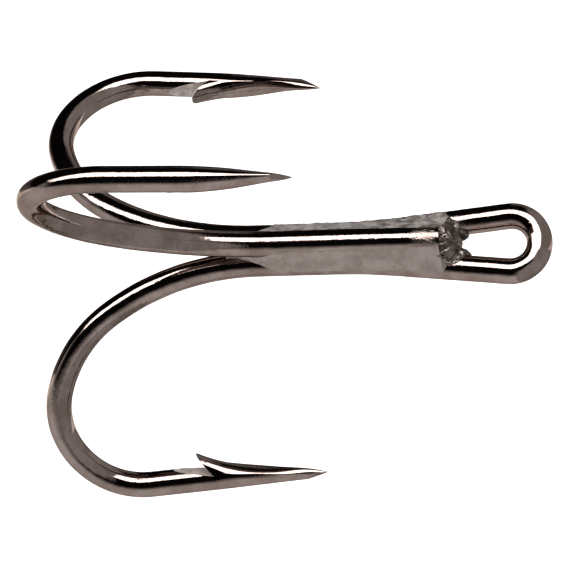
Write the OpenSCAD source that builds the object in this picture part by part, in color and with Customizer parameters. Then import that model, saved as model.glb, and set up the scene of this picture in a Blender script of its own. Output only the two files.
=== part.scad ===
// Treble hook: a double hook bent from one wire, with a single hook brazed into its groove.
// +Z runs up along the shank to the eye. The origin is the centre of the eye's round crown.
// The two shanks of the double hook lie side by side in the plane Y = 0,
// and the single hook lies in the groove in front of them, on the -Y side.

/* [Wire] */
// Diameter of the hook wire
wire_d = 2.1; // [1.9:0.05:2.3]
// How much thinner the wire is where it is bent, as bending stretches it
bend_slim = 0.03; // [0.02:0.01:0.04]
// Film of braze left between two neighbouring shanks
braze_film = 0.06; // [0.04:0.01:0.1]

/* [Eye] */
// Radius of the eye's round crown, at the centre of the wire
crown_r = 2.3; // [2.1:0.05:2.6]
// Angle at which each side of the eye closes towards the shank
eye_spread = 6; // [5:0.5:8]
// Radius of the gentle flare from the shank into the side of the eye
flare_r = 56; // [40:1:60]

/* [Shanks] */
// Distance from the eye's centre down to the bend of the left hook
left_drop = 20.7; // [20.5:0.1:24]
// Distance from the eye's centre down to the bend of the right hook
right_drop = 20.5; // [20.5:0.1:24]
// Distance from the eye's centre down to the bend of the single hook
single_drop = 18.6; // [17:0.1:22]
// Distance from the eye's centre down to the cut end of the single hook
single_end = 5.5; // [5.3:0.1:6]

/* [Bend] */
// Direction of the left hook, seen from the eye
left_turn = 150; // [140:1:160]
// Direction of the right hook, seen from the eye
right_turn = 37; // [20:1:40]
// Radius of the slow first stretch of the bend
slow_r = 21.5; // [20:0.5:23]
// Angle of the slow first stretch
slow_a = 36; // [34:1:38]
// Radius of the middle stretch
middle_r = 12.5; // [11.5:0.5:13.5]
// Angle of the middle stretch
middle_a = 38; // [36:1:40]
// Radius of the tight last stretch, which ends in the spear
tight_r = 6.5; // [6.2:0.1:6.8]
// Angle of the tight last stretch
tight_a = 111.3; // [110.3:0.1:112.3]

/* [Spear] */
// Straight spear of the left hook, from the end of the bend to the point
left_spear = 14.1; // [13:0.1:16]
// Straight spear of the right hook
right_spear = 14.7; // [13:0.1:16]
// Straight spear of the single hook
single_spear = 14.7; // [13:0.1:16]
// Length over which the wire tapers to the point
taper_l = 8; // [7:0.1:9]
// Length of the steep cone at the very tip
tip_l = 1.75; // [1:0.05:2.5]
// Diameter where the steep cone starts
tip_d = 0.9; // [0.6:0.05:1.2]
// Angle by which the tapered point leans away from the shank
point_lean = 4; // [2:0.5:6]

/* [Barb] */
// Distance from the point back to the free end of the barb
barb_back = 10.6; // [9.8:0.1:10.8]
// Height of the barb's free end above the surface of the wire
barb_h = 1.05; // [0.8:0.05:1.15]
// Angle by which the chip is lifted from the wire
barb_lift = 20; // [17:1:23]
// Width of the chip
barb_w = 1.9; // [1.6:0.05:2]
// Distance from the barb's free end forward to the root of the chisel cut
barb_overhang = 1.4; // [1.1:0.1:1.6]
// Depth of the cut at its root
cut_depth = 0.6; // [0.4:0.05:0.7]
// Length of the flat floor that rises from the root back to the surface of the wire
cut_l = 3.3; // [2.8:0.1:3.6]

/* [Braze] */
// How far the braze fills each groove, as a share of the wire's radius
seam_fill = 0.9; // [0.6:0.05:0.9]
// Distance from the eye's centre down to the lower end of the seams
seam_end = 20.4; // [18:0.1:20.4]
// Radius of the rounded lump over the cut end of the single hook
collar_r = 1.9; // [1.7:0.05:2]

/* [Hidden] */
wire_fn = 96;
bend_fn = 240;
$fn = wire_fn;
wire_r = wire_d / 2;
pitch = wire_d + braze_film;
// A slim stretch runs this far into the full wire at each end, so that the two join.
lap = 0.15;
// The single hook's shank rests in the groove, so the three centres make an even triangle.
single_y = -pitch * sqrt(3) / 2;
// Each side of the eye is a straight length tangent to both the flare and the crown.
leg_l = (crown_r * cos(eye_spread) - pitch / 2 - flare_r * (1 - cos(eye_spread))) / sin(eye_spread);
neck_z = -(crown_r + flare_r) * sin(eye_spread) - leg_l * cos(eye_spread);
// The short bow that leans the point outwards, before the taper starts.
lean_r = 12;
lean_l = lean_r * point_lean * PI / 180;
core_top = single_end - 1.2;
collar_z = -single_end - 0.1;
collar_y = -0.75;

wire_color = [0.17, 0.16, 0.16];
braze_color = [0.38, 0.35, 0.32];

// A straight run of wire down the local -Z, with whatever follows it at its end.
module run(length) {
    translate([0, 0, -length]) {
        cylinder(d = wire_d, h = length);
        children();
    }
}

// A round bend towards the local +X, or towards -X for a negative angle.
module arc(radius, angle, slim = 0) {
    side = sign(angle);
    turn = abs(angle);
    over = slim > 0 ? lap / radius * 180 / PI : 0;
    translate([side * radius, 0, 0]) rotate([90, 0, 0])
        rotate([0, 0, (side > 0 ? 180 : -turn) - over])
            rotate_extrude(angle = turn + 2 * over, $fn = bend_fn)
                translate([radius, 0]) circle(d = wire_d - slim, $fn = wire_fn);
    translate([side * radius * (1 - cos(turn)), 0, -radius * sin(turn)]) rotate([0, -angle, 0])
        children();
}

// The tapered point: a long slow cone, then a short steep one.
module point() {
    slow_l = taper_l - tip_l;
    rotate_extrude()
        polygon([[0, 0], [0, -taper_l], [tip_d / 2, -slow_l], [wire_r, 0]]);
}

// A profile given as [height above the wire's centre, distance from the point], across the wire.
module across(spear_l, width, profile) {
    rotate([90, 0, 0]) linear_extrude(width, center = true)
        polygon([for (p = profile) [p[0], p[1] - spear_l]]);
}

// The chip of wire that the chisel lifts: round on top like the wire, and cut to a tongue at its end.
module barb_chip(spear_l) {
    root = [wire_r - cut_depth, barb_back - barb_overhang];
    tip = [wire_r + barb_h, barb_back];
    beyond = tip + 0.4 * (tip - root);
    front = root[1] - 2;
    intersection() {
        translate([tip[0], 0, tip[1] - spear_l]) rotate([0, barb_lift, 0])
            translate([-barb_w / 2, 0, -barb_back]) cylinder(d = barb_w, h = barb_back + 1);
        across(spear_l, 2 * wire_d, [root, beyond, [beyond[0], front], [root[0], front]]);
    }
}

// The spear: straight wire, the outward bow, the point, and the barb on the inner side.
module spear(spear_l) {
    root = [wire_r - cut_depth, barb_back - barb_overhang];
    heel = [wire_r + 0.02, root[1] + cut_l];
    difference() {
        run(spear_l - taper_l - lean_l) arc(lean_r, -point_lean, bend_slim) point();
        across(spear_l, 2 * wire_d, [root, heel, [2 * wire_d, heel[1]], [2 * wire_d, root[1]]]);
    }
    barb_chip(spear_l);
}

// The three stretches of the bend in one plane, and the spear after them.
module bend_and_spear(turn, spear_l) {
    rotate([0, 0, turn])
        arc(slow_r, slow_a, bend_slim) arc(middle_r, middle_a)
            arc(tight_r, tight_a, bend_slim) spear(spear_l);
}

// One shank of the double hook, from the side of the eye and the flare down to its bend.
module half_shank(drop) {
    translate([crown_r * cos(eye_spread), 0, -crown_r * sin(eye_spread)]) rotate([0, eye_spread, 0])
        run(leg_l) arc(flare_r, eye_spread, bend_slim) run(drop + neck_z) children();
}

module double_hook_wire() color(wire_color) {
    over = eye_spread + lap / crown_r * 180 / PI;
    rotate([90, 0, 0]) rotate([0, 0, -over])
        rotate_extrude(angle = 180 + 2 * over, $fn = bend_fn)
            translate([crown_r, 0]) circle(d = wire_d - bend_slim, $fn = wire_fn);
    half_shank(right_drop) bend_and_spear(right_turn, right_spear);
    rotate([0, 0, 180]) half_shank(left_drop) bend_and_spear(left_turn - 180, left_spear);
}

// The single hook's shank, cut off square at the top.
module single_shank() {
    translate([0, single_y, -single_end]) rotate([0, 0, -90])
        run(single_drop - single_end) children();
}

module single_hook_wire() color(wire_color)
    single_shank() bend_and_spear(0, single_spear);

// The stretches of wire that the braze touches.
module shanks() {
    half_shank(right_drop);
    rotate([0, 0, 180]) half_shank(left_drop);
    single_shank() arc(slow_r, slow_a, bend_slim);
}

// A bar along the shanks with the given outline, between two heights below the eye's centre.
module bar(outline, top, bottom) {
    translate([0, 0, -bottom]) linear_extrude(bottom - top) polygon(outline);
}

// The braze that fills the middle, between the three shanks and the legs of the eye.
module core_bar() {
    bar([[0, single_y], [pitch / 2, 0], [-pitch / 2, 0]], core_top, seam_end);
}

module braze_core() color(braze_color) difference() {
    core_bar();
    shanks();
}

// The braze in the groove between the single hook and the shank on one side.
module side_seam(side) {
    out = [side * cos(30), -sin(30)] * seam_fill * wire_r;
    difference() {
        bar([[0, single_y], [0, single_y] + out, [side * pitch / 2, 0] + out, [side * pitch / 2, 0]],
            single_end + 0.3, seam_end);
        shanks();
    }
}

module braze_seam_left() color(braze_color) side_seam(-1);

module braze_seam_right() color(braze_color) side_seam(1);

module braze_seam_back() color(braze_color) difference() {
    bar([[-pitch / 2, 0], [pitch / 2, 0],
         [pitch / 2, seam_fill * wire_r], [-pitch / 2, seam_fill * wire_r]],
        -neck_z - 3, seam_end);
    shanks();
}

module braze_collar() color(braze_color) difference() {
    translate([0, collar_y, collar_z]) sphere(r = collar_r);
    shanks();
    core_bar();
    side_seam(-1);
    side_seam(1);
}

double_hook_wire();
single_hook_wire();
braze_core();
braze_seam_left();
braze_seam_right();
braze_seam_back();
braze_collar();
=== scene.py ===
"""Looks of the treble hook: black-nickel plated wire with brazed seams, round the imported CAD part."""

import math

import bmesh
import bpy
from mathutils import Matrix, Vector, noise


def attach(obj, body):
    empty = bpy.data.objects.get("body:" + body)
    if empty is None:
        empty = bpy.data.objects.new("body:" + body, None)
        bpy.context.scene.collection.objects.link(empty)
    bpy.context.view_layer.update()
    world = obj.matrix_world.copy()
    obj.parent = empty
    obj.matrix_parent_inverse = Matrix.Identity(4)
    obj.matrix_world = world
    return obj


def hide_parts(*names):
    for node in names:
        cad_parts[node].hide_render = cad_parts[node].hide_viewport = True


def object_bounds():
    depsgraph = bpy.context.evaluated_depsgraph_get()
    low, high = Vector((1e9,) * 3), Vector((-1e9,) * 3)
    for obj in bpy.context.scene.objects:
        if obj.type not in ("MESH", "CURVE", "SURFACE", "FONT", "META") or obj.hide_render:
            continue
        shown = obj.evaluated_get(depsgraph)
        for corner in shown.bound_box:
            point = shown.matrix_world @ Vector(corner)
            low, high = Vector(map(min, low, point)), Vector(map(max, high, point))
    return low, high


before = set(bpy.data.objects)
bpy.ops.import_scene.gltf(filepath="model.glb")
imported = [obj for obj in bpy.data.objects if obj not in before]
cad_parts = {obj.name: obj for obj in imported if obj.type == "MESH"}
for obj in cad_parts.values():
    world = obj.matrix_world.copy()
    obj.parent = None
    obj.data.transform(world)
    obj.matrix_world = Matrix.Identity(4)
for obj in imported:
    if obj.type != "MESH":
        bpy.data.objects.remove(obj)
CAD_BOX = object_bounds()
MM = 0.001

# Design sizes of the wire, in millimetres and degrees, the same as in the CAD source.
WIRE_R = 1.05
PITCH = 2.16
CROWN_R = 2.3
EYE_SPREAD = 6
FLARE_R = 56
LEFT_DROP, RIGHT_DROP, SINGLE_DROP = 20.7, 20.5, 18.6
SINGLE_END = 5.5
LEFT_TURN, RIGHT_TURN, SINGLE_TURN = 150, 37, -90
BENDS = ((21.5, 36), (12.5, 38), (6.5, 111.3))
LEFT_SPEAR, RIGHT_SPEAR, SINGLE_SPEAR = 14.1, 14.7, 14.7
SINGLE_Y = -PITCH * math.sqrt(3) / 2

# How finely the wire is meshed: ring spacing, and columns on the inner face and round the rest.
STEP = 0.22
INNER_COLS = 24
OUTER_COLS = 60
CORNER = 31  # angle on the round wire at which the inner columns begin
CUT_CORNER = 88  # the same angle where the cut's floor begins, as a sliver
CUT_RINGS = 22
UNDER_RINGS = 5
CHIP_RINGS = 11
SPEAR_RINGS = 44
CUT_CROWDING = 1.3  # above 1 crowds the cut's rings towards its shallow end
TIP_CROWDING = 1.15  # above 1 crowds the spear's rings towards the tip

# The spear, measured back from its tip. Heights are above the wire's axis, towards the shank.
TIP_BEVEL = 1.75  # length of the steep bevel on the outer side
TIP_POWER = 0.85  # below 1 rounds that bevel
TIP_H = -0.6  # height of the tip that the curves below are drawn for
LIFT_RUN = 5.0  # a hook with a higher tip is lifted over this length
BREAK_S = 8.2  # the chip of the barb bends up from here
ROOT_S, ROOT_H = 9.3, 0.47  # root of the chisel cut
FREE_S = 10.6  # free end of the barb
CUT_S = 12.7  # the floor of the cut meets the round wire here
ROOT_W = math.sqrt(WIRE_R**2 - ROOT_H**2)
CREASE_W = (
    (0, 0), (0.5, 0.15), (1.2, 0.28), (2.2, 0.42), (3.5, 0.61), (5, 0.79),
    (6.5, 0.90), (7.9, 0.96), (ROOT_S, ROOT_W),
)
CREASE_H = (
    (1.2, -0.48), (2.3, -0.34), (3.5, -0.12), (5, 0.15), (6.5, 0.36), (7.9, 0.47), (ROOT_S, ROOT_H),
)
SPEAR_TOP = ((1.2, -0.21), (2.3, 0.02), (3.9, 0.26), (5, 0.44), (6.6, 0.76), (8.2, 1.15))
FLANK_POWER = 1.1  # above 1 leans the ground flanks in and narrows the outer side
GRIND_RUN = 6.5  # length over which the round wire turns into ground flanks
MEET_COLS = OUTER_COLS / 6  # columns over which the round wire is drawn in to each crease
CHIP_SAG = 0.08  # how far the top of the chip is hollow along its length
CHIP_ROUND = 2.2  # how square the chip's free end is across the wire
CHIP_BEVEL = 0.3  # how far the top of the free end is set towards the tip, as a share of its thickness
BLUNT_FROM = 0.2  # chips thicker than this have a rounder free end
TOP_ROUND = 0.85  # below 1 fills out the crown of the spear's inner face
LEAST_CROWN = 0.28  # least height of that crown, as a share of its half width
CHISEL_DEPTH = 0.03  # depth of the marks on the cut's floor
FLOOR_START = 0.002  # how far below the wire's top the cut's floor starts
END_BULGE = 0.05  # how far the single wire's cut end stands out


def smooth(t):
    """Eases from 0 to 1."""
    t = min(max(t, 0.0), 1.0)
    return t * t * (3 - 2 * t)


def between(points, x):
    """Value at x of a smooth curve through (x, y) points."""
    if x <= points[0][0]:
        return points[0][1]
    for i in range(len(points) - 1):
        (x0, y0), (x1, y1) = points[i], points[i + 1]
        if x <= x1:
            before = points[i - 1] if i else (2 * x0 - x1, 2 * y0 - y1)
            after = points[i + 2] if i + 2 < len(points) else (2 * x1 - x0, 2 * y1 - y0)
            m0 = (y1 - before[1]) / (x1 - before[0]) * (x1 - x0)
            m1 = (after[1] - y0) / (after[0] - x0) * (x1 - x0)
            t = (x - x0) / (x1 - x0)
            return ((2 * t**3 - 3 * t**2 + 1) * y0 + (t**3 - 2 * t**2 + t) * m0
                    + (3 * t**2 - 2 * t**3) * y1 + (t**3 - t**2) * m1)
    return points[-1][1]


# ---------------------------------------------------------------- centreline


class Walk:
    """Walks along the wire and leaves a station (point, direction, inward normal) every STEP."""

    def __init__(self, point, direction, normal):
        self.p, self.t, self.n = Vector(point), Vector(direction), Vector(normal)
        self.stations = [(self.p.copy(), self.t.copy(), self.n.copy())]

    def straight(self, length, new_normal=None):
        """A straight run, over which the inward normal may turn to a new direction."""
        old = self.n.copy()
        roll = 0.0
        if new_normal is not None:
            new = Vector(new_normal)
            roll = math.atan2(self.t.dot(old.cross(new)), old.dot(new))
        start = self.p.copy()
        count = max(1, round(length / STEP))
        for i in range(1, count + 1):
            self.p = start + self.t * (length * i / count)
            self.n = Matrix.Rotation(roll * smooth(i / count), 3, self.t) @ old
            self.stations.append((self.p.copy(), self.t.copy(), self.n.copy()))

    def arc(self, radius, angle):
        """An arc towards the inward normal, or away from it for a negative angle."""
        side = 1 if angle > 0 else -1
        turn = math.radians(abs(angle))
        start, t0, n0 = self.p.copy(), self.t.copy(), self.n * side
        count = max(2, round(radius * turn / STEP))
        for i in range(1, count + 1):
            a = turn * i / count
            self.p = start + n0 * radius * (1 - math.cos(a)) + t0 * radius * math.sin(a)
            self.t = t0 * math.cos(a) + n0 * math.sin(a)
            self.n = (n0 * math.cos(a) - t0 * math.sin(a)) * side
            self.stations.append((self.p.copy(), self.t.copy(), self.n.copy()))


def turned(angle):
    """Level direction at this angle, seen from the eye."""
    return Vector((math.cos(math.radians(angle)), math.sin(math.radians(angle)), 0))


def half_of_double(side, drop, turn):
    """Walk from the top of the eye down one shank and round its bend."""
    spread = math.radians(EYE_SPREAD)
    leg = (CROWN_R * math.cos(spread) - PITCH / 2 - FLARE_R * (1 - math.cos(spread))) / math.sin(spread)
    neck = (CROWN_R + FLARE_R) * math.sin(spread) + leg * math.cos(spread)
    walk = Walk((0, 0, CROWN_R), (side, 0, 0), (0, 0, -1))
    walk.arc(CROWN_R, 90 + EYE_SPREAD)
    walk.straight(leg)
    walk.arc(FLARE_R, -EYE_SPREAD)
    walk.straight(drop - neck, turned(turn))
    for radius, angle in BENDS:
        walk.arc(radius, angle)
    return walk


def single_walk():
    """Walk from the cut end of the single hook down its shank and round its bend."""
    walk = Walk((0, SINGLE_Y, -SINGLE_END), (0, 0, -1), turned(SINGLE_TURN))
    walk.straight(SINGLE_DROP - SINGLE_END)
    for radius, angle in BENDS:
        walk.arc(radius, angle)
    return walk


# ---------------------------------------------------------------- sections of the wire


def across(i):
    """Position of inner column i across the face, from 1 at one corner to -1 at the other."""
    return math.cos(math.pi * i / INNER_COLS)


def lifted(curve, s, tip_h):
    """Height on a curve that ends at TIP_H, lifted near the tip for a hook whose tip stands at tip_h."""
    lift = (tip_h - TIP_H) * max(1 - s / LIFT_RUN, 0) ** 2
    return between(((0, TIP_H), *curve), s) + lift


def crease(s, tip_h):
    """Height and half width of the crease between the ground flanks and the inner face."""
    return lifted(CREASE_H, s, tip_h), between(CREASE_W, s)


def round_outer(s, angle):
    """Outer columns on the round wire, from the far corner round the outside to the near corner."""
    columns = []
    for i in range(1, OUTER_COLS):
        a = math.pi - angle + (math.pi + 2 * angle) * i / OUTER_COLS
        columns.append((s, WIRE_R * math.sin(a), WIRE_R * math.cos(a)))
    return columns


def ground_outer(s, tip_h):
    """Outer columns in front of the cut: two flat flanks and a broad outer side, bevelled to the tip."""
    height, width = crease(s, tip_h)
    low = -WIRE_R
    if s < TIP_BEVEL:
        low = tip_h + (-WIRE_R - tip_h) * (s / TIP_BEVEL) ** TIP_POWER
    ground = []
    for i in range(1, OUTER_COLS):
        a = math.pi * i / OUTER_COLS
        side = math.copysign(abs(math.cos(a)) ** FLANK_POWER, -math.cos(a))
        ground.append((s, height - (height - low) * math.sin(a) ** FLANK_POWER, width * side))
    return ground


def rounded_outer(s, tip_h):
    """Outer columns of the round wire, drawn in to meet the crease."""
    height, width = crease(s, tip_h)
    start, reach = math.atan2(height, width), math.hypot(height, width)
    columns = []
    for i in range(1, OUTER_COLS):
        a = math.pi - start + (math.pi + 2 * start) * i / OUTER_COLS
        free = smooth(min(i, OUTER_COLS - i) / MEET_COLS)
        r = reach + (WIRE_R - reach) * free
        columns.append((s, r * math.sin(a), r * math.cos(a)))
    return columns


def outer_columns(s, tip_h):
    """Outer columns in front of the root, where the round wire turns into flanks."""
    share = smooth((s - ROOT_S + GRIND_RUN) / GRIND_RUN)
    ground, whole = ground_outer(s, tip_h), rounded_outer(s, tip_h)
    return [mix(a, b, share) for a, b in zip(ground, whole)]


def crowned_face(s, tip_h):
    """Inner face of a section in front of the barb: a low crown between the two creases."""
    edge, width = crease(s, tip_h)
    top = lifted(SPEAR_TOP, s, tip_h)
    rise = max(top - edge, LEAST_CROWN * width)
    face = []
    for i in range(INNER_COLS + 1):
        face.append((s, edge + rise * (1 - across(i) ** 2) ** TOP_ROUND, width * across(i)))
    return face


def flat_face(s, height):
    """Floor of the cut across the wire at one height, with faint chisel marks."""
    width = math.sqrt(max(WIRE_R**2 - height**2, 0))
    face = []
    for i in range(INNER_COLS + 1):
        mark = CHISEL_DEPTH * noise.noise(Vector((s * 2.2, across(i) * 5, 0))) * (1 - across(i) ** 2)
        face.append((s, height + mark, width * across(i)))
    return face


def round_face(s, angle):
    """Inner columns that stay on the round wire."""
    face = []
    for i in range(INNER_COLS + 1):
        a = angle + (math.pi - 2 * angle) * i / INNER_COLS
        face.append((s, WIRE_R * math.sin(a), WIRE_R * math.cos(a)))
    return face


def tongue_edge(blunt, free_h):
    """Outline of the chip's free end, from corner to corner, on the plane of its underside."""
    edge = []
    power = 0.5 if blunt > BLUNT_FROM else 0.75
    for i in range(INNER_COLS + 1):
        reach = (1 - abs(across(i)) ** CHIP_ROUND) ** power
        s = ROOT_S + (FREE_S - ROOT_S) * reach
        edge.append((s, ROOT_H + (free_h - ROOT_H) * reach, ROOT_W * across(i)))
    return edge


def mix(a, b, t):
    """Point between two local points."""
    return tuple(x + (y - x) * t for x, y in zip(a, b))


def cut_rings(spear_l):
    """Rings from the start of the spear to the root of the cut."""
    rings = []
    count = round((spear_l - CUT_S) / STEP) + 1
    for k in range(1, count + 1):
        s = spear_l + (CUT_S - spear_l) * k / count
        angle = math.radians(CORNER + (CUT_CORNER - CORNER) * smooth(k / count))
        rings.append(("wire", round_face(s, angle), round_outer(s, angle)))
    for k in range(1, CUT_RINGS + 1):
        s = CUT_S + (ROOT_S - CUT_S) * (k / CUT_RINGS) ** CUT_CROWDING
        height = ROOT_H + (WIRE_R - FLOOR_START - ROOT_H) * (s - ROOT_S) / (CUT_S - ROOT_S)
        rings.append(("cut", flat_face(s, height), round_outer(s, math.asin(height / WIRE_R))))
    return rings


def chip_rings(floor, outer, blunt, free_h, tip_h):
    """Rings that fold back along the underside of the chip, round its free end and along its top."""
    rings, edge = [], tongue_edge(blunt, free_h)
    for k in range(1, UNDER_RINGS + 1):
        rings.append(("under", [mix(a, b, k / UNDER_RINGS) for a, b in zip(floor, edge)], outer))
    thick = []
    for i, (s, h, w) in enumerate(edge):
        crown = 1 - across(i) ** 2
        thick.append((s - CHIP_BEVEL * blunt * crown, h + blunt * crown, w))
    rings.append(("under", thick, outer))
    front = crowned_face(BREAK_S, tip_h)
    for k in range(1, CHIP_RINGS + 1):
        t = 1 - k / CHIP_RINGS
        s = BREAK_S + (ROOT_S - BREAK_S) * t
        rings.append(("wire", chip_top(front, thick, t, s, tip_h), outer_columns(s, tip_h)))
    return rings


def chip_top(front, edge, t, s, tip_h):
    """Top of the chip, part way between the break (t = 0) and its free edge (t = 1)."""
    face = []
    for i in range(INNER_COLS + 1):
        point = mix(front[i], edge[i], t)
        sag = CHIP_SAG * 4 * t * (1 - t) * (1 - across(i) ** 2)
        face.append((point[0], point[1] - sag, point[2]))
    height, width = crease(s, tip_h)
    face[0], face[-1] = (s, height, width), (s, height, -width)
    return face


def spear_rings(spear_l, blunt, free_h, tip_h):
    """Rings (kind, inner columns, outer columns) from the bend to the tip.

    A ring's kind says what the inner faces between it and the ring before are made of.
    """
    rings = cut_rings(spear_l)
    rings += chip_rings(rings[-1][1], rings[-1][2], blunt, free_h, tip_h)
    for k in range(1, SPEAR_RINGS):
        s = BREAK_S * (1 - k / SPEAR_RINGS) ** TIP_CROWDING
        rings.append(("wire", crowned_face(s, tip_h), outer_columns(s, tip_h)))
    return rings


# ---------------------------------------------------------------- meshing


def unevenness(p):
    """Small real unevenness of drawn and plated wire, in millimetres."""
    slow = noise.noise(p * 0.55) * 0.012
    fine = noise.noise(p * 2.3 + Vector((7, 1, 4))) * 0.006
    return slow + fine


class Skin:
    """Collects rings of the wire, each a list of vertex indices, and joins them into one mesh."""

    def __init__(self):
        self.points, self.rings, self.kinds = [], [], []

    def add(self, points, kind, shared=None):
        """A ring in row-frame millimetres. Columns in shared keep the last ring's vertices."""
        ring = []
        for i, p in enumerate(points):
            if shared and i in shared:
                ring.append(self.rings[-1][i])
            else:
                self.points.append(p)
                ring.append(len(self.points) - 1)
        self.rings.append(ring)
        self.kinds.append(kind)

    def close(self, point):
        """A single point that closes the wire at an end."""
        self.points.append(point)
        self.rings.append([len(self.points) - 1] * (INNER_COLS + OUTER_COLS))
        self.kinds.append("wire")

    def faces(self):
        """Quads between neighbouring rings, with collapsed ones left out."""
        found = []
        for k in range(1, len(self.rings)):
            a, b = self.rings[k - 1], self.rings[k]
            for i in range(len(a)):
                j = (i + 1) % len(a)
                loop = []
                for v in (a[i], a[j], b[j], b[i]):
                    if v not in loop:
                        loop.append(v)
                if len(loop) > 2:
                    inner = i < INNER_COLS
                    found.append((loop, self.kinds[k] if inner else "wire"))
        return found


def ring_points(station, inner, outer, spear_l):
    """Row-frame points of a local section. The station is the start of the straight spear."""
    p, t, n = station
    b = t.cross(n)
    return [p + t * (spear_l - s) + n * h + b * w for s, h, w in inner + outer]


def roughened(points, p):
    """Moves wire points in or out by the unevenness there."""
    moved = []
    for q in points:
        outward = (q - p).normalized()
        moved.append(q + outward * unevenness(q))
    return moved


def add_round(skin, stations):
    """Adds plain round rings at these stations."""
    angle = math.radians(CORNER)
    inner, outer = round_face(0, angle), round_outer(0, angle)
    for station in stations:
        points = ring_points(station, inner, outer, 0)
        skin.add(roughened(points, station[0]), "wire")


OUTER_SET = {0, *range(INNER_COLS, INNER_COLS + OUTER_COLS)}


def add_spear(skin, station, spear_l, blunt, free_h, tip_h):
    """Adds a spear that starts at a station. The chip's folded rings share their outer columns."""
    for kind, inner, outer in spear_rings(spear_l, blunt, free_h, tip_h):
        points = ring_points(station, inner, outer, spear_l)
        skin.add(points, kind, OUTER_SET if kind == "under" else None)
    skin.close(station[0] + station[1] * spear_l + station[2] * tip_h)


def half_skin(stations, spear_l, blunt, free_h, tip_h, cut_off=False):
    """Skin of one hook, from its first station to the tip. It is closed at the start if cut off there."""
    skin = Skin()
    if cut_off:
        skin.close(stations[0][0] - stations[0][1] * END_BULGE)
    add_round(skin, stations)
    add_spear(skin, stations[-1], spear_l, blunt, free_h, tip_h)
    return skin


SHARP = math.radians(28)
SAME_PLACE = 1e-7  # in metres

# Braze spatter: how strong it is near the lump, along the single shank and at its cut end, and where
# it is centred near the lump and how far it reaches there, in millimetres.
LUMP_SPATTER, SHANK_SPATTER, END_SPATTER = 0.7, 0.15, 1.5
LUMP_CENTRE = Vector((0, -0.75, -5.5))
LUMP_REACH, LUMP_FADE = 1.9, 1.3


def rising(value, start, run):
    """0 up to start, and eased up to 1 over the run after it."""
    return smooth((value - start) / run)


def falling(value, start, run):
    """1 up to start, and eased down to 0 over the run after it."""
    return 1 - rising(value, start, run)


def spatter_at(p):
    """How much braze spatter the wire carries at a point in millimetres, from 0 to END_SPATTER."""
    near_lump = falling((p - LUMP_CENTRE).length, LUMP_REACH, LUMP_FADE)
    along = SHANK_SPATTER * rising(p.z, -21, 6) * falling(p.z, -6, 1) * falling(p.y, -1.2, 0.8)
    cut_end = rising(p.z, -8.2, 1.0) * falling(p.z, -5.9, 0.1) * falling(p.y, -1.4, 0.4)
    return max(near_lump * LUMP_SPATTER, along, cut_end * END_SPATTER)


def clean_and_shade(mesh):
    """Joins doubled points and makes the mesh smooth except along sharp edges."""
    bm = bmesh.new()
    bm.from_mesh(mesh)
    bmesh.ops.remove_doubles(bm, verts=bm.verts, dist=SAME_PLACE)
    bmesh.ops.dissolve_degenerate(bm, edges=bm.edges, dist=SAME_PLACE)
    bmesh.ops.recalc_face_normals(bm, faces=bm.faces)
    for face in bm.faces:
        face.smooth = True
    for edge in bm.edges:
        if len(edge.link_faces) == 2 and edge.calc_face_angle(0) > SHARP:
            edge.smooth = False
    bm.to_mesh(mesh)
    bm.free()


def object_from(name, points, faces, materials, kinds=None, spattered=False):
    """Object in metres from points in millimetres and (loop, kind) faces."""
    mesh = bpy.data.meshes.new(name)
    mesh.from_pydata([p * MM for p in points], [], [f for f, _ in faces])
    for material in materials:
        mesh.materials.append(material)
    if kinds:
        for polygon, (_, kind) in zip(mesh.polygons, faces):
            polygon.material_index = kinds[kind]
    clean_and_shade(mesh)
    if spattered:
        spatter = mesh.attributes.new("spatter", "FLOAT", "POINT")
        for vertex, value in zip(mesh.vertices, spatter.data):
            value.value = spatter_at(vertex.co / MM)
    made = bpy.data.objects.new(name, mesh)
    bpy.context.scene.collection.objects.link(made)
    return made


# ---------------------------------------------------------------- materials


class Nodes:
    """Short way to build a node tree."""

    def __init__(self, tree):
        self.tree = tree
        tree.nodes.clear()

    def add(self, kind, inputs=None, **settings):
        """A node of this kind. An input is a value, or another node's output to link from."""
        node = self.tree.nodes.new(kind)
        for key, value in settings.items():
            setattr(node, key, value)
        for key, value in (inputs or {}).items():
            if hasattr(value, "is_output"):
                self.tree.links.new(value, node.inputs[key])
            else:
                node.inputs[key].default_value = value
        return node

    def math(self, operation, a, b=0.0):
        """Output of a Math node."""
        node = self.add("ShaderNodeMath", {0: a, 1: b}, operation=operation)
        return node.outputs[0]

    def ramp(self, value, low, high, start=0.0, end=1.0):
        """Maps value from low..high to start..end, eased and clamped."""
        node = self.add("ShaderNodeMapRange", {0: value, 1: low, 2: high, 3: start, 4: end},
                        interpolation_type="SMOOTHSTEP")
        return node.outputs[0]

    def band(self, value, low, high, soft_low, soft_high):
        """1 between low and high and 0 outside, with soft edges this wide on either side of each."""
        rise = self.ramp(value, low - soft_low, low + soft_low)
        fall = self.ramp(value, high - soft_high, high + soft_high, 1, 0)
        return self.math("MULTIPLY", rise, fall)

    def noise(self, vector, size, detail=2.0, rough=0.5):
        """Noise whose features are about this many millimetres across."""
        node = self.add("ShaderNodeTexNoise", {"Vector": vector, "Scale": 1 / (size * MM),
                                               "Detail": detail, "Roughness": rough})
        return node.outputs[0]

    def mix(self, factor, a, b):
        """Colour between a and b."""
        node = self.add("ShaderNodeMix", {0: factor, 6: a, 7: b}, data_type="RGBA")
        return node.outputs[2]


# Sizes of the plating's detail, in millimetres.
SPECK_SIZE = 0.42
GLOSS_SIZE = 0.35
PIT_SPACING = 0.6
CRACKLE_SIZE = 0.16
EDGE_TINT = (0.55, 0.5, 0.47, 1)


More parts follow.
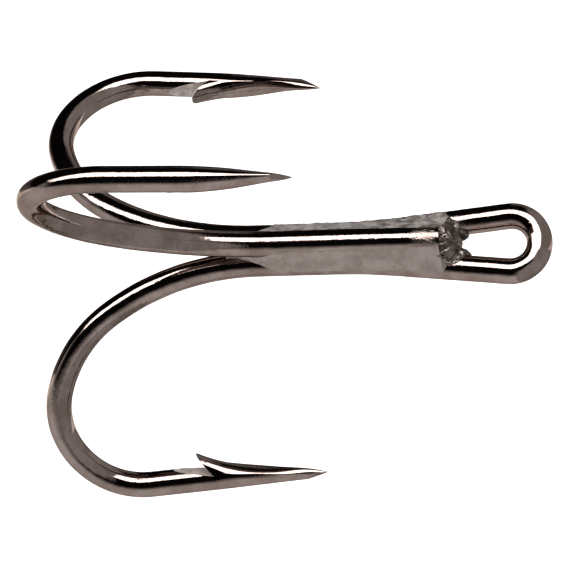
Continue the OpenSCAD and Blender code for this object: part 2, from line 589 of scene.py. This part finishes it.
def plating_colour(n, place, dark, light, tint_size):
    """Mottled tint between two colours, with burnt specks."""
    mottle = n.noise(place, tint_size, 5, 0.65)
    colour = n.mix(n.ramp(mottle, 0.36, 0.64), (*dark, 1), (*light, 1))
    speck = n.ramp(n.noise(place, SPECK_SIZE, 3, 0.7), 0.635, 0.70)
    burnt = (dark[0] * 0.35, dark[1] * 0.28, dark[2] * 0.22, 1)
    return n.mix(n.math("MULTIPLY", speck, 0.6), colour, burnt)


def plating_height(n, place, spatter, grain, pit):
    """Height for the bump: orange peel, slow waves, small pits, and crackle where there is spatter."""
    cells = n.add("ShaderNodeTexVoronoi", {"Vector": place, "Scale": 1 / (PIT_SPACING * MM)})
    pits = n.ramp(cells.outputs["Distance"], 0.0, 0.13, -pit, 0.0)
    crackle = n.math("MULTIPLY", n.noise(place, CRACKLE_SIZE, 3, 0.6), n.math("MULTIPLY", spatter, 6.0))
    slow = n.math("MULTIPLY", n.noise(place, grain * 3.5, 2, 0.5), 2.2)
    fine = n.math("ADD", n.noise(place, grain, 3, 0.55), pits)
    return n.math("ADD", fine, n.math("ADD", crackle, slow))


def metal(name, dark, light, rough, bump, grain, pit, tint_size=2.5, metallic=1.0):
    """Plated metal with an uneven tint, gloss and surface. The bump and the grain are in millimetres."""
    material = bpy.data.materials.new(name)
    material.use_nodes = True
    n = Nodes(material.node_tree)
    place = n.add("ShaderNodeTexCoord").outputs["Object"]
    spatter = n.add("ShaderNodeAttribute", attribute_name="spatter").outputs["Fac"]
    colour = plating_colour(n, place, dark, light, tint_size)
    gloss = n.ramp(n.noise(place, GLOSS_SIZE, 3, 0.6), 0.3, 0.7, rough[0], rough[1])
    gloss = n.math("ADD", gloss, n.math("MULTIPLY", spatter, 0.03))
    height = plating_height(n, place, spatter, grain, pit)
    rise = n.add("ShaderNodeBump", {"Strength": 1.0, "Distance": bump * MM, "Height": height})
    shader = n.add("ShaderNodeBsdfPrincipled", {
        "Base Color": colour, "Metallic": metallic, "Roughness": gloss,
        "Specular Tint": EDGE_TINT, "Normal": rise.outputs[0]})
    out = n.add("ShaderNodeOutputMaterial")
    n.tree.links.new(shader.outputs[0], out.inputs[0])
    return material


NICKEL = metal(
    "black_nickel", dark=(0.176, 0.134, 0.117), light=(0.248, 0.198, 0.179),
    rough=(0.04, 0.11), bump=0.006, grain=0.30, pit=0.8)
CUT_STEEL = metal(
    "cut_face", dark=(0.30, 0.255, 0.235), light=(0.50, 0.435, 0.405),
    rough=(0.42, 0.60), bump=0.030, grain=0.14, pit=0.3, tint_size=0.6, metallic=0.35)
BRAZE = metal(
    "plated_braze", dark=(0.060, 0.046, 0.040), light=(0.165, 0.135, 0.122),
    rough=(0.22, 0.44), bump=0.045, grain=0.22, pit=1.2, tint_size=0.8, metallic=0.85)
FILLET = metal(
    "braze_fillet", dark=(0.205, 0.166, 0.150), light=(0.275, 0.228, 0.209),
    rough=(0.12, 0.30), bump=0.016, grain=0.45, pit=1.4, tint_size=1.6)
CRUST = metal(
    "braze_crust", dark=(0.10, 0.083, 0.075), light=(0.38, 0.345, 0.325),
    rough=(0.30, 0.50), bump=0.040, grain=0.22, pit=1.0, tint_size=1.1, metallic=0.35)


# ---------------------------------------------------------------- braze


def centre_at(stations, z):
    """Centre of a wire where it passes this height on its way down."""
    for (a, _, _), (b, _, _) in zip(stations, stations[1:]):
        if b.z <= z <= a.z and a.z > b.z:
            return a.lerp(b, (a.z - z) / (a.z - b.z))
    return stations[0][0]


TOP_COLS, WRAP_COLS, UNDER_COLS = 24, 8, 8
SEAM_STEP = 0.1
WRAP_SINK = 0.09  # how far the end of a wrapped seam sinks into the wire, as a share of its height
UNDER_FROM, UNDER_RUN = 0.12, 0.76  # the hidden underside, as shares of the way between the wires
UNDER_DEPTH = 0.05
TONGUE, LEAST_FILL = 0.25, 0.05  # how full the bottom tip is, and the least anywhere
HEAD_FADE = 0.9  # length over which the top of a seam reaches its head
EDGE_COLS = 5  # columns at each edge over which the lumps fade out


def seam_section(a, b, out, fill, dip, wrap):
    """Outline of the braze in a groove: a hollow outer side, carried wrap degrees round the second wire."""
    along = b - a
    out = (out - along * (out.dot(along) / along.length_squared)).normalized()
    points = []
    for i in range(TOP_COLS + 1):
        t = i / TOP_COLS
        hollow = dip * 4 * t * (1 - t)
        points.append(a + along * t + out * (fill * WIRE_R - hollow))
    for i in range(1, WRAP_COLS + 1):
        t = i / WRAP_COLS
        way = Matrix.Rotation(math.radians(wrap * t), 3, "Z") @ out
        points.append(b + way * (fill * WIRE_R * (1 - WRAP_SINK * t**5)))
    for i in range(UNDER_COLS + 1):
        t = 1 - i / UNDER_COLS
        points.append(a + along * (UNDER_FROM + UNDER_RUN * t) - out * UNDER_DEPTH)
    return points


def seam_share(z, top, bottom, fill, fade, head):
    """How full the groove is at this height. It thins to a tongue at the bottom, and to head at the top."""
    low = smooth((z - bottom) / fade)
    high = smooth((top - z) / HEAD_FADE)
    wave = 0.03 * noise.noise(Vector((z * 0.5, fill * 9, 1)))
    wave += 0.02 * noise.noise(Vector((z * 1.7, 3, fill)))
    body = fill * (TONGUE + (1 - TONGUE) * low) * (head + (1 - head) * high)
    return max(body + wave * low, LEAST_FILL)


def roughen_seam(ring, out, lumps, last):
    """Raises the outer columns, up to the last one, by uneven lumps that fade out at both edges."""
    for i in range(last + 1):
        inside = smooth(min(i, last - i) / EDGE_COLS)
        bumps = 0.7 + noise.noise(ring[i] * 1.6) + 0.6 * noise.noise(ring[i] * 4.3)
        ring[i] = ring[i] + out * (lumps * inside * bumps)


def tube_faces(size, count):
    """Quads between count + 1 rings of this many points, with a face over each end."""
    faces = []
    for k in range(count):
        for i in range(size):
            j = (i + 1) % size
            faces.append(([k * size + i, k * size + j, (k + 1) * size + j, (k + 1) * size + i], "wire"))
    faces.append((list(range(size)), "wire"))
    faces.append((list(range(count * size, (count + 1) * size))[::-1], "wire"))
    return faces


def seam(name, wires, out, top, bottom, material,
         fill=1.0, dip=0.02, lumps=0.02, fade=2.6, wrap=0, head=0.75):
    """A braze fillet along the groove between two wires, from one height down to another."""
    points, count = [], round((top - bottom) / SEAM_STEP)
    last = TOP_COLS + (WRAP_COLS if wrap else 0)
    for k in range(count + 1):
        z = top + (bottom - top) * k / count
        a, b = centre_at(wires[0], z), centre_at(wires[1], z)
        ring = seam_section(a, b, out, seam_share(z, top, bottom, fill, fade, head), dip, wrap)
        roughen_seam(ring, out, lumps, last)
        points += ring
    return object_from(name, points, tube_faces(len(ring), count), [material])


# Rounded blobs that run together into the lump: centre and radii.
BLOBS = (
    ((0, -0.75, -5.35), (1.80, 1.62, 1.40)),
    ((0, -0.40, -4.95), (1.35, 1.15, 0.95)),
    ((-1.45, -0.42, -5.15), (0.85, 0.98, 1.35)),
    ((1.45, -0.38, -4.95), (0.80, 0.90, 1.50)),
    ((-0.85, -0.10, -4.25), (0.48, 0.80, 0.90)),
    ((0.85, -0.10, -4.15), (0.48, 0.80, 0.95)),
)


VOXEL = 0.065  # in millimetres
RELAX_SHARE, RELAX_TIMES = 0.6, 22


def blob_mesh():
    """The blobs joined into one skin by a voxel remesh, and smoothed."""
    bm = bmesh.new()
    for centre, radii in BLOBS:
        made = bmesh.ops.create_icosphere(bm, subdivisions=4, radius=1)
        for vert in made["verts"]:
            vert.co = Vector([c + r * x for c, r, x in zip(centre, radii, vert.co)]) * MM
    mesh = bpy.data.meshes.new("blobs")
    bm.to_mesh(mesh)
    bm.free()
    rough = bpy.data.objects.new("blobs", mesh)
    bpy.context.scene.collection.objects.link(rough)
    remesh = rough.modifiers.new("remesh", "REMESH")
    remesh.mode, remesh.voxel_size = "VOXEL", VOXEL * MM
    relax = rough.modifiers.new("relax", "SMOOTH")
    relax.factor, relax.iterations = RELAX_SHARE, RELAX_TIMES
    ready = rough.evaluated_get(bpy.context.evaluated_depsgraph_get())
    joined_mesh = bpy.data.meshes.new_from_object(ready)
    bpy.data.objects.remove(rough)
    return joined_mesh


def lumpiness(p):
    """How far the lump's skin stands out at a point, in millimetres."""
    big = 0.20 * noise.noise(p * 0.9 + Vector((3, 5, 1)))
    mid = 0.10 * noise.noise(p * 2.4 + Vector((1, 9, 2)))
    small = 0.03 * noise.noise(p * 6.0)
    pit = -0.16 * smooth((noise.noise(p * 2.9 + Vector((4, 4, 8))) - 0.30) / 0.25)
    return big + mid + small + pit


def lump_piece():
    """The rough lump of braze over the cut end of the single hook."""
    mesh = blob_mesh()
    places = [v.co.copy() for v in mesh.vertices]
    normals = [v.normal.copy() for v in mesh.vertices]
    for vertex, place, normal in zip(mesh.vertices, places, normals):
        vertex.co = place + normal * (lumpiness(place / MM) * MM)
    for polygon in mesh.polygons:
        polygon.use_smooth = True
    mesh.materials.clear()
    mesh.materials.append(BRAZE)
    made = bpy.data.objects.new("braze_lump", mesh)
    bpy.context.scene.collection.objects.link(made)
    return made


# ---------------------------------------------------------------- camera, floor and light

# The camera's place and aim in millimetres, roll in degrees and lens, fitted to the photograph's view.
CAMERA_AT = (126.4, -431.5, 55.3)
CAMERA_AIM = (3.06, -0.53, -18.18)
CAMERA_ROLL = 88.4
CAMERA_LENS = 357.8
FLOOR_HALF = 4  # half width of the floor, in metres
FLOOR_GLOW = 0.9
FLOOR_PATCH = 40  # size of the floor's faint mottling, in millimetres


def make_camera():
    """Long lens a little above the hook, turned on its side so that the eye points right."""
    data = bpy.data.cameras.new("camera")
    data.lens = CAMERA_LENS
    camera = bpy.data.objects.new("camera", data)
    bpy.context.scene.collection.objects.link(camera)
    at, aim = Vector(CAMERA_AT) * MM, Vector(CAMERA_AIM) * MM
    level = (aim - at).to_track_quat("-Z", "Y").to_matrix()
    roll = Matrix.Rotation(math.radians(CAMERA_ROLL), 3, "Z")
    camera.matrix_world = Matrix.Translation(at) @ (level @ roll).to_4x4()
    bpy.context.scene.camera = camera


def make_floor():
    """A pale floor under the lowest point, bright enough to hold hardly any shadow."""
    material = bpy.data.materials.new("floor_paint")
    material.use_nodes = True
    n = Nodes(material.node_tree)
    place = n.add("ShaderNodeTexCoord").outputs["Object"]
    tone = n.mix(n.noise(place, FLOOR_PATCH), (0.80, 0.80, 0.80, 1), (0.84, 0.84, 0.84, 1))
    shader = n.add("ShaderNodeBsdfPrincipled", {
        "Base Color": tone, "Roughness": 0.9,
        "Emission Color": (1, 1, 1, 1), "Emission Strength": FLOOR_GLOW})
    out = n.add("ShaderNodeOutputMaterial")
    n.tree.links.new(shader.outputs[0], out.inputs[0])
    bm = bmesh.new()
    bmesh.ops.create_grid(bm, x_segments=8, y_segments=8, size=FLOOR_HALF)
    mesh = bpy.data.meshes.new("floor")
    bm.to_mesh(mesh)
    bm.free()
    mesh.materials.append(material)
    floor = bpy.data.objects.new("floor", mesh)
    bpy.context.scene.collection.objects.link(floor)
    floor.location.z = CAD_BOX[0].z
    floor.visible_glossy = False


# Brightness of each part of the studio. BLACK is the darkest that any direction gets.
STRIP_POWER = 11.0
WHITE_POWER = 1.12
DIM_POWER = 0.65
UNDER_POWER = 0.6
REAR_POWER = 0.4
SPINE_POWER = 2.2
BLACK = 0.008
FACING = 16.0  # azimuth from which the hook is lit as it is shown

# Where each part of the studio is, in degrees. Two numbers are where it starts to change and where
# the change is complete. Four are a band: low end, high end, and how soft each of them is.
STRIP_ANGLE, STRIP_HEIGHT = (25, 57, 2, 5), (-64, 17, 4, 3)
CARD_ANGLE, CARD_HEIGHT = (-60, -24), (4, 10)
DIM_HEIGHT, DIM_LIFT_ANGLE, DIM_LIFT = (8, 20), (-20, 20), 9
UNDER_HEIGHT, UNDER_ANGLE = (-80, -62), (30, 70)
WALL_ANGLE = (135, 172)
ABOVE_ANGLE, ABOVE_HEIGHT = (100, 125), (-8, -3)
SPINE_ANGLE = (169, 173)


def studio_angles(n):
    """Angle round the hook from the shown side, and height above the horizon, in degrees."""
    way = n.add("ShaderNodeTexCoord").outputs["Generated"]
    x, y, z = n.add("ShaderNodeSeparateXYZ", {0: way}).outputs
    east, south = math.sin(math.radians(FACING)), -math.cos(math.radians(FACING))
    ahead = n.math("ADD", n.math("MULTIPLY", x, east), n.math("MULTIPLY", y, south))
    side = n.math("ADD", n.math("MULTIPLY", x, south), n.math("MULTIPLY", y, -east))
    angle = n.math("MULTIPLY", n.math("ARCTAN2", side, ahead), 180 / math.pi)
    height = n.math("MULTIPLY", n.math("ARCSINE", z), 180 / math.pi)
    return angle, height


def front_light(n, angle, height):
    """The brightest of the white card, the dim upper side and the glow underneath, at least BLACK."""
    card = n.math("MULTIPLY", n.ramp(angle, *CARD_ANGLE, 1, 0), n.ramp(height, *CARD_HEIGHT, 1, 0))
    card = n.math("MULTIPLY", card, WHITE_POWER)
    raised = n.math("ADD", height, n.ramp(angle, *DIM_LIFT_ANGLE, DIM_LIFT, 0))
    dim = n.math("MULTIPLY", n.ramp(raised, *DIM_HEIGHT), DIM_POWER)
    below = n.ramp(height, *UNDER_HEIGHT, UNDER_POWER, 0)
    under = n.math("MULTIPLY", below, n.ramp(angle, *UNDER_ANGLE, 1, 0))
    return n.math("MAXIMUM", n.math("MAXIMUM", card, dim), n.math("MAXIMUM", under, BLACK))


def back_light(n, angle, height):
    """A dim wall behind on the strip's side, wider above the horizon, and a narrow strip straight behind."""
    wall = n.ramp(angle, *WALL_ANGLE, 0, REAR_POWER)
    above = n.math("MULTIPLY", n.ramp(angle, *ABOVE_ANGLE, 0, REAR_POWER), n.ramp(height, *ABOVE_HEIGHT))
    spine = n.ramp(n.math("ABSOLUTE", angle), *SPINE_ANGLE, 0, SPINE_POWER)
    return n.math("MAXIMUM", n.math("MAXIMUM", wall, above), spine)


def make_world():
    """Studio light: a bright strip on one side, a white card on the other, and a narrow strip behind."""
    world = bpy.data.worlds.new("studio")
    bpy.context.scene.world = world
    world.use_nodes = True
    n = Nodes(world.node_tree)
    angle, height = studio_angles(n)
    strip = n.math("MULTIPLY", n.band(angle, *STRIP_ANGLE), n.band(height, *STRIP_HEIGHT))
    level = n.math("MAXIMUM", front_light(n, angle, height), back_light(n, angle, height))
    level = n.math("ADD", level, n.math("MULTIPLY", strip, STRIP_POWER))
    seen = n.add("ShaderNodeLightPath").outputs["Is Camera Ray"]
    level = n.math("ADD", n.math("MULTIPLY", n.math("SUBTRACT", 1.0, seen), level), seen)
    back = n.add("ShaderNodeBackground", {"Color": (1, 1, 1, 1), "Strength": level})
    out = n.add("ShaderNodeOutputWorld")
    n.tree.links.new(back.outputs[0], out.inputs[0])


# ---------------------------------------------------------------- assembly


def reversed_skin(skin):
    """The same rings in the opposite order, with the columns turned round to match."""
    flipped = Skin()
    flipped.points = skin.points
    for ring in reversed(skin.rings):
        inner = ring[INNER_COLS::-1]
        outer = ring[:INNER_COLS:-1]
        flipped.rings.append(inner + outer)
    flipped.kinds = [skin.kinds[0]] + skin.kinds[:0:-1]
    return flipped


def joined(first, second):
    """One skin from two that start at the same ring: the first is walked backwards."""
    back = reversed_skin(first)
    offset = len(back.points)
    whole = Skin()
    whole.points = back.points + second.points
    whole.rings = back.rings + [[v + offset for v in ring] for ring in second.rings[1:]]
    whole.kinds = back.kinds + second.kinds[1:]
    return whole


make_camera()
make_floor()
make_world()
bpy.context.scene.view_settings.view_transform = "Standard"

right = half_of_double(1, RIGHT_DROP, RIGHT_TURN).stations
left = half_of_double(-1, LEFT_DROP, LEFT_TURN).stations
single = single_walk().stations

KINDS = {"wire": 0, "cut": 1, "under": 1}
METALS = [NICKEL, CUT_STEEL]
left_skin = half_skin(left, LEFT_SPEAR, blunt=0.30, free_h=1.72, tip_h=0.0)
right_skin = half_skin(right, RIGHT_SPEAR, blunt=0.06, free_h=2.2, tip_h=-0.6)
double_skin = joined(left_skin, right_skin)
double_piece = object_from(
    "double_hook", double_skin.points, double_skin.faces(), METALS, KINDS, spattered=True)
single_skin = half_skin(single, SINGLE_SPEAR, blunt=0.1, free_h=1.9, tip_h=-0.3, cut_off=True)
single_piece = object_from(
    "single_hook", single_skin.points, single_skin.faces(), METALS, KINDS, spattered=True)

seam_left = seam(
    "seam_left", (single, left), turned(210), top=-4.4, bottom=-22.3, material=CRUST,
    lumps=0.05, fade=3.4, wrap=-34)
seam_right = seam(
    "seam_right", (single, right), turned(-30), top=-4.5, bottom=-22.9, material=FILLET, fade=4.2)
seam_back = seam(
    "seam_back", (left, right), turned(90), top=-11.1, bottom=-21.4, material=FILLET,
    fill=0.85, dip=0.06, lumps=0.03, head=0.2)
lump = lump_piece()
core_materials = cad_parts["braze_core"].data.materials
core_materials.clear()
core_materials.append(BRAZE)

for piece, node, slot in (
    (double_piece, "double_hook_wire", "plated_wire"),
    (single_piece, "single_hook_wire", "plated_wire"),
    (seam_left, "braze_seam_left", "plated_braze"),
    (seam_right, "braze_seam_right", "plated_braze"),
    (seam_back, "braze_seam_back", "plated_braze"),
    (lump, "braze_collar", "plated_braze"),
):
    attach(piece, "root")
    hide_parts(node)
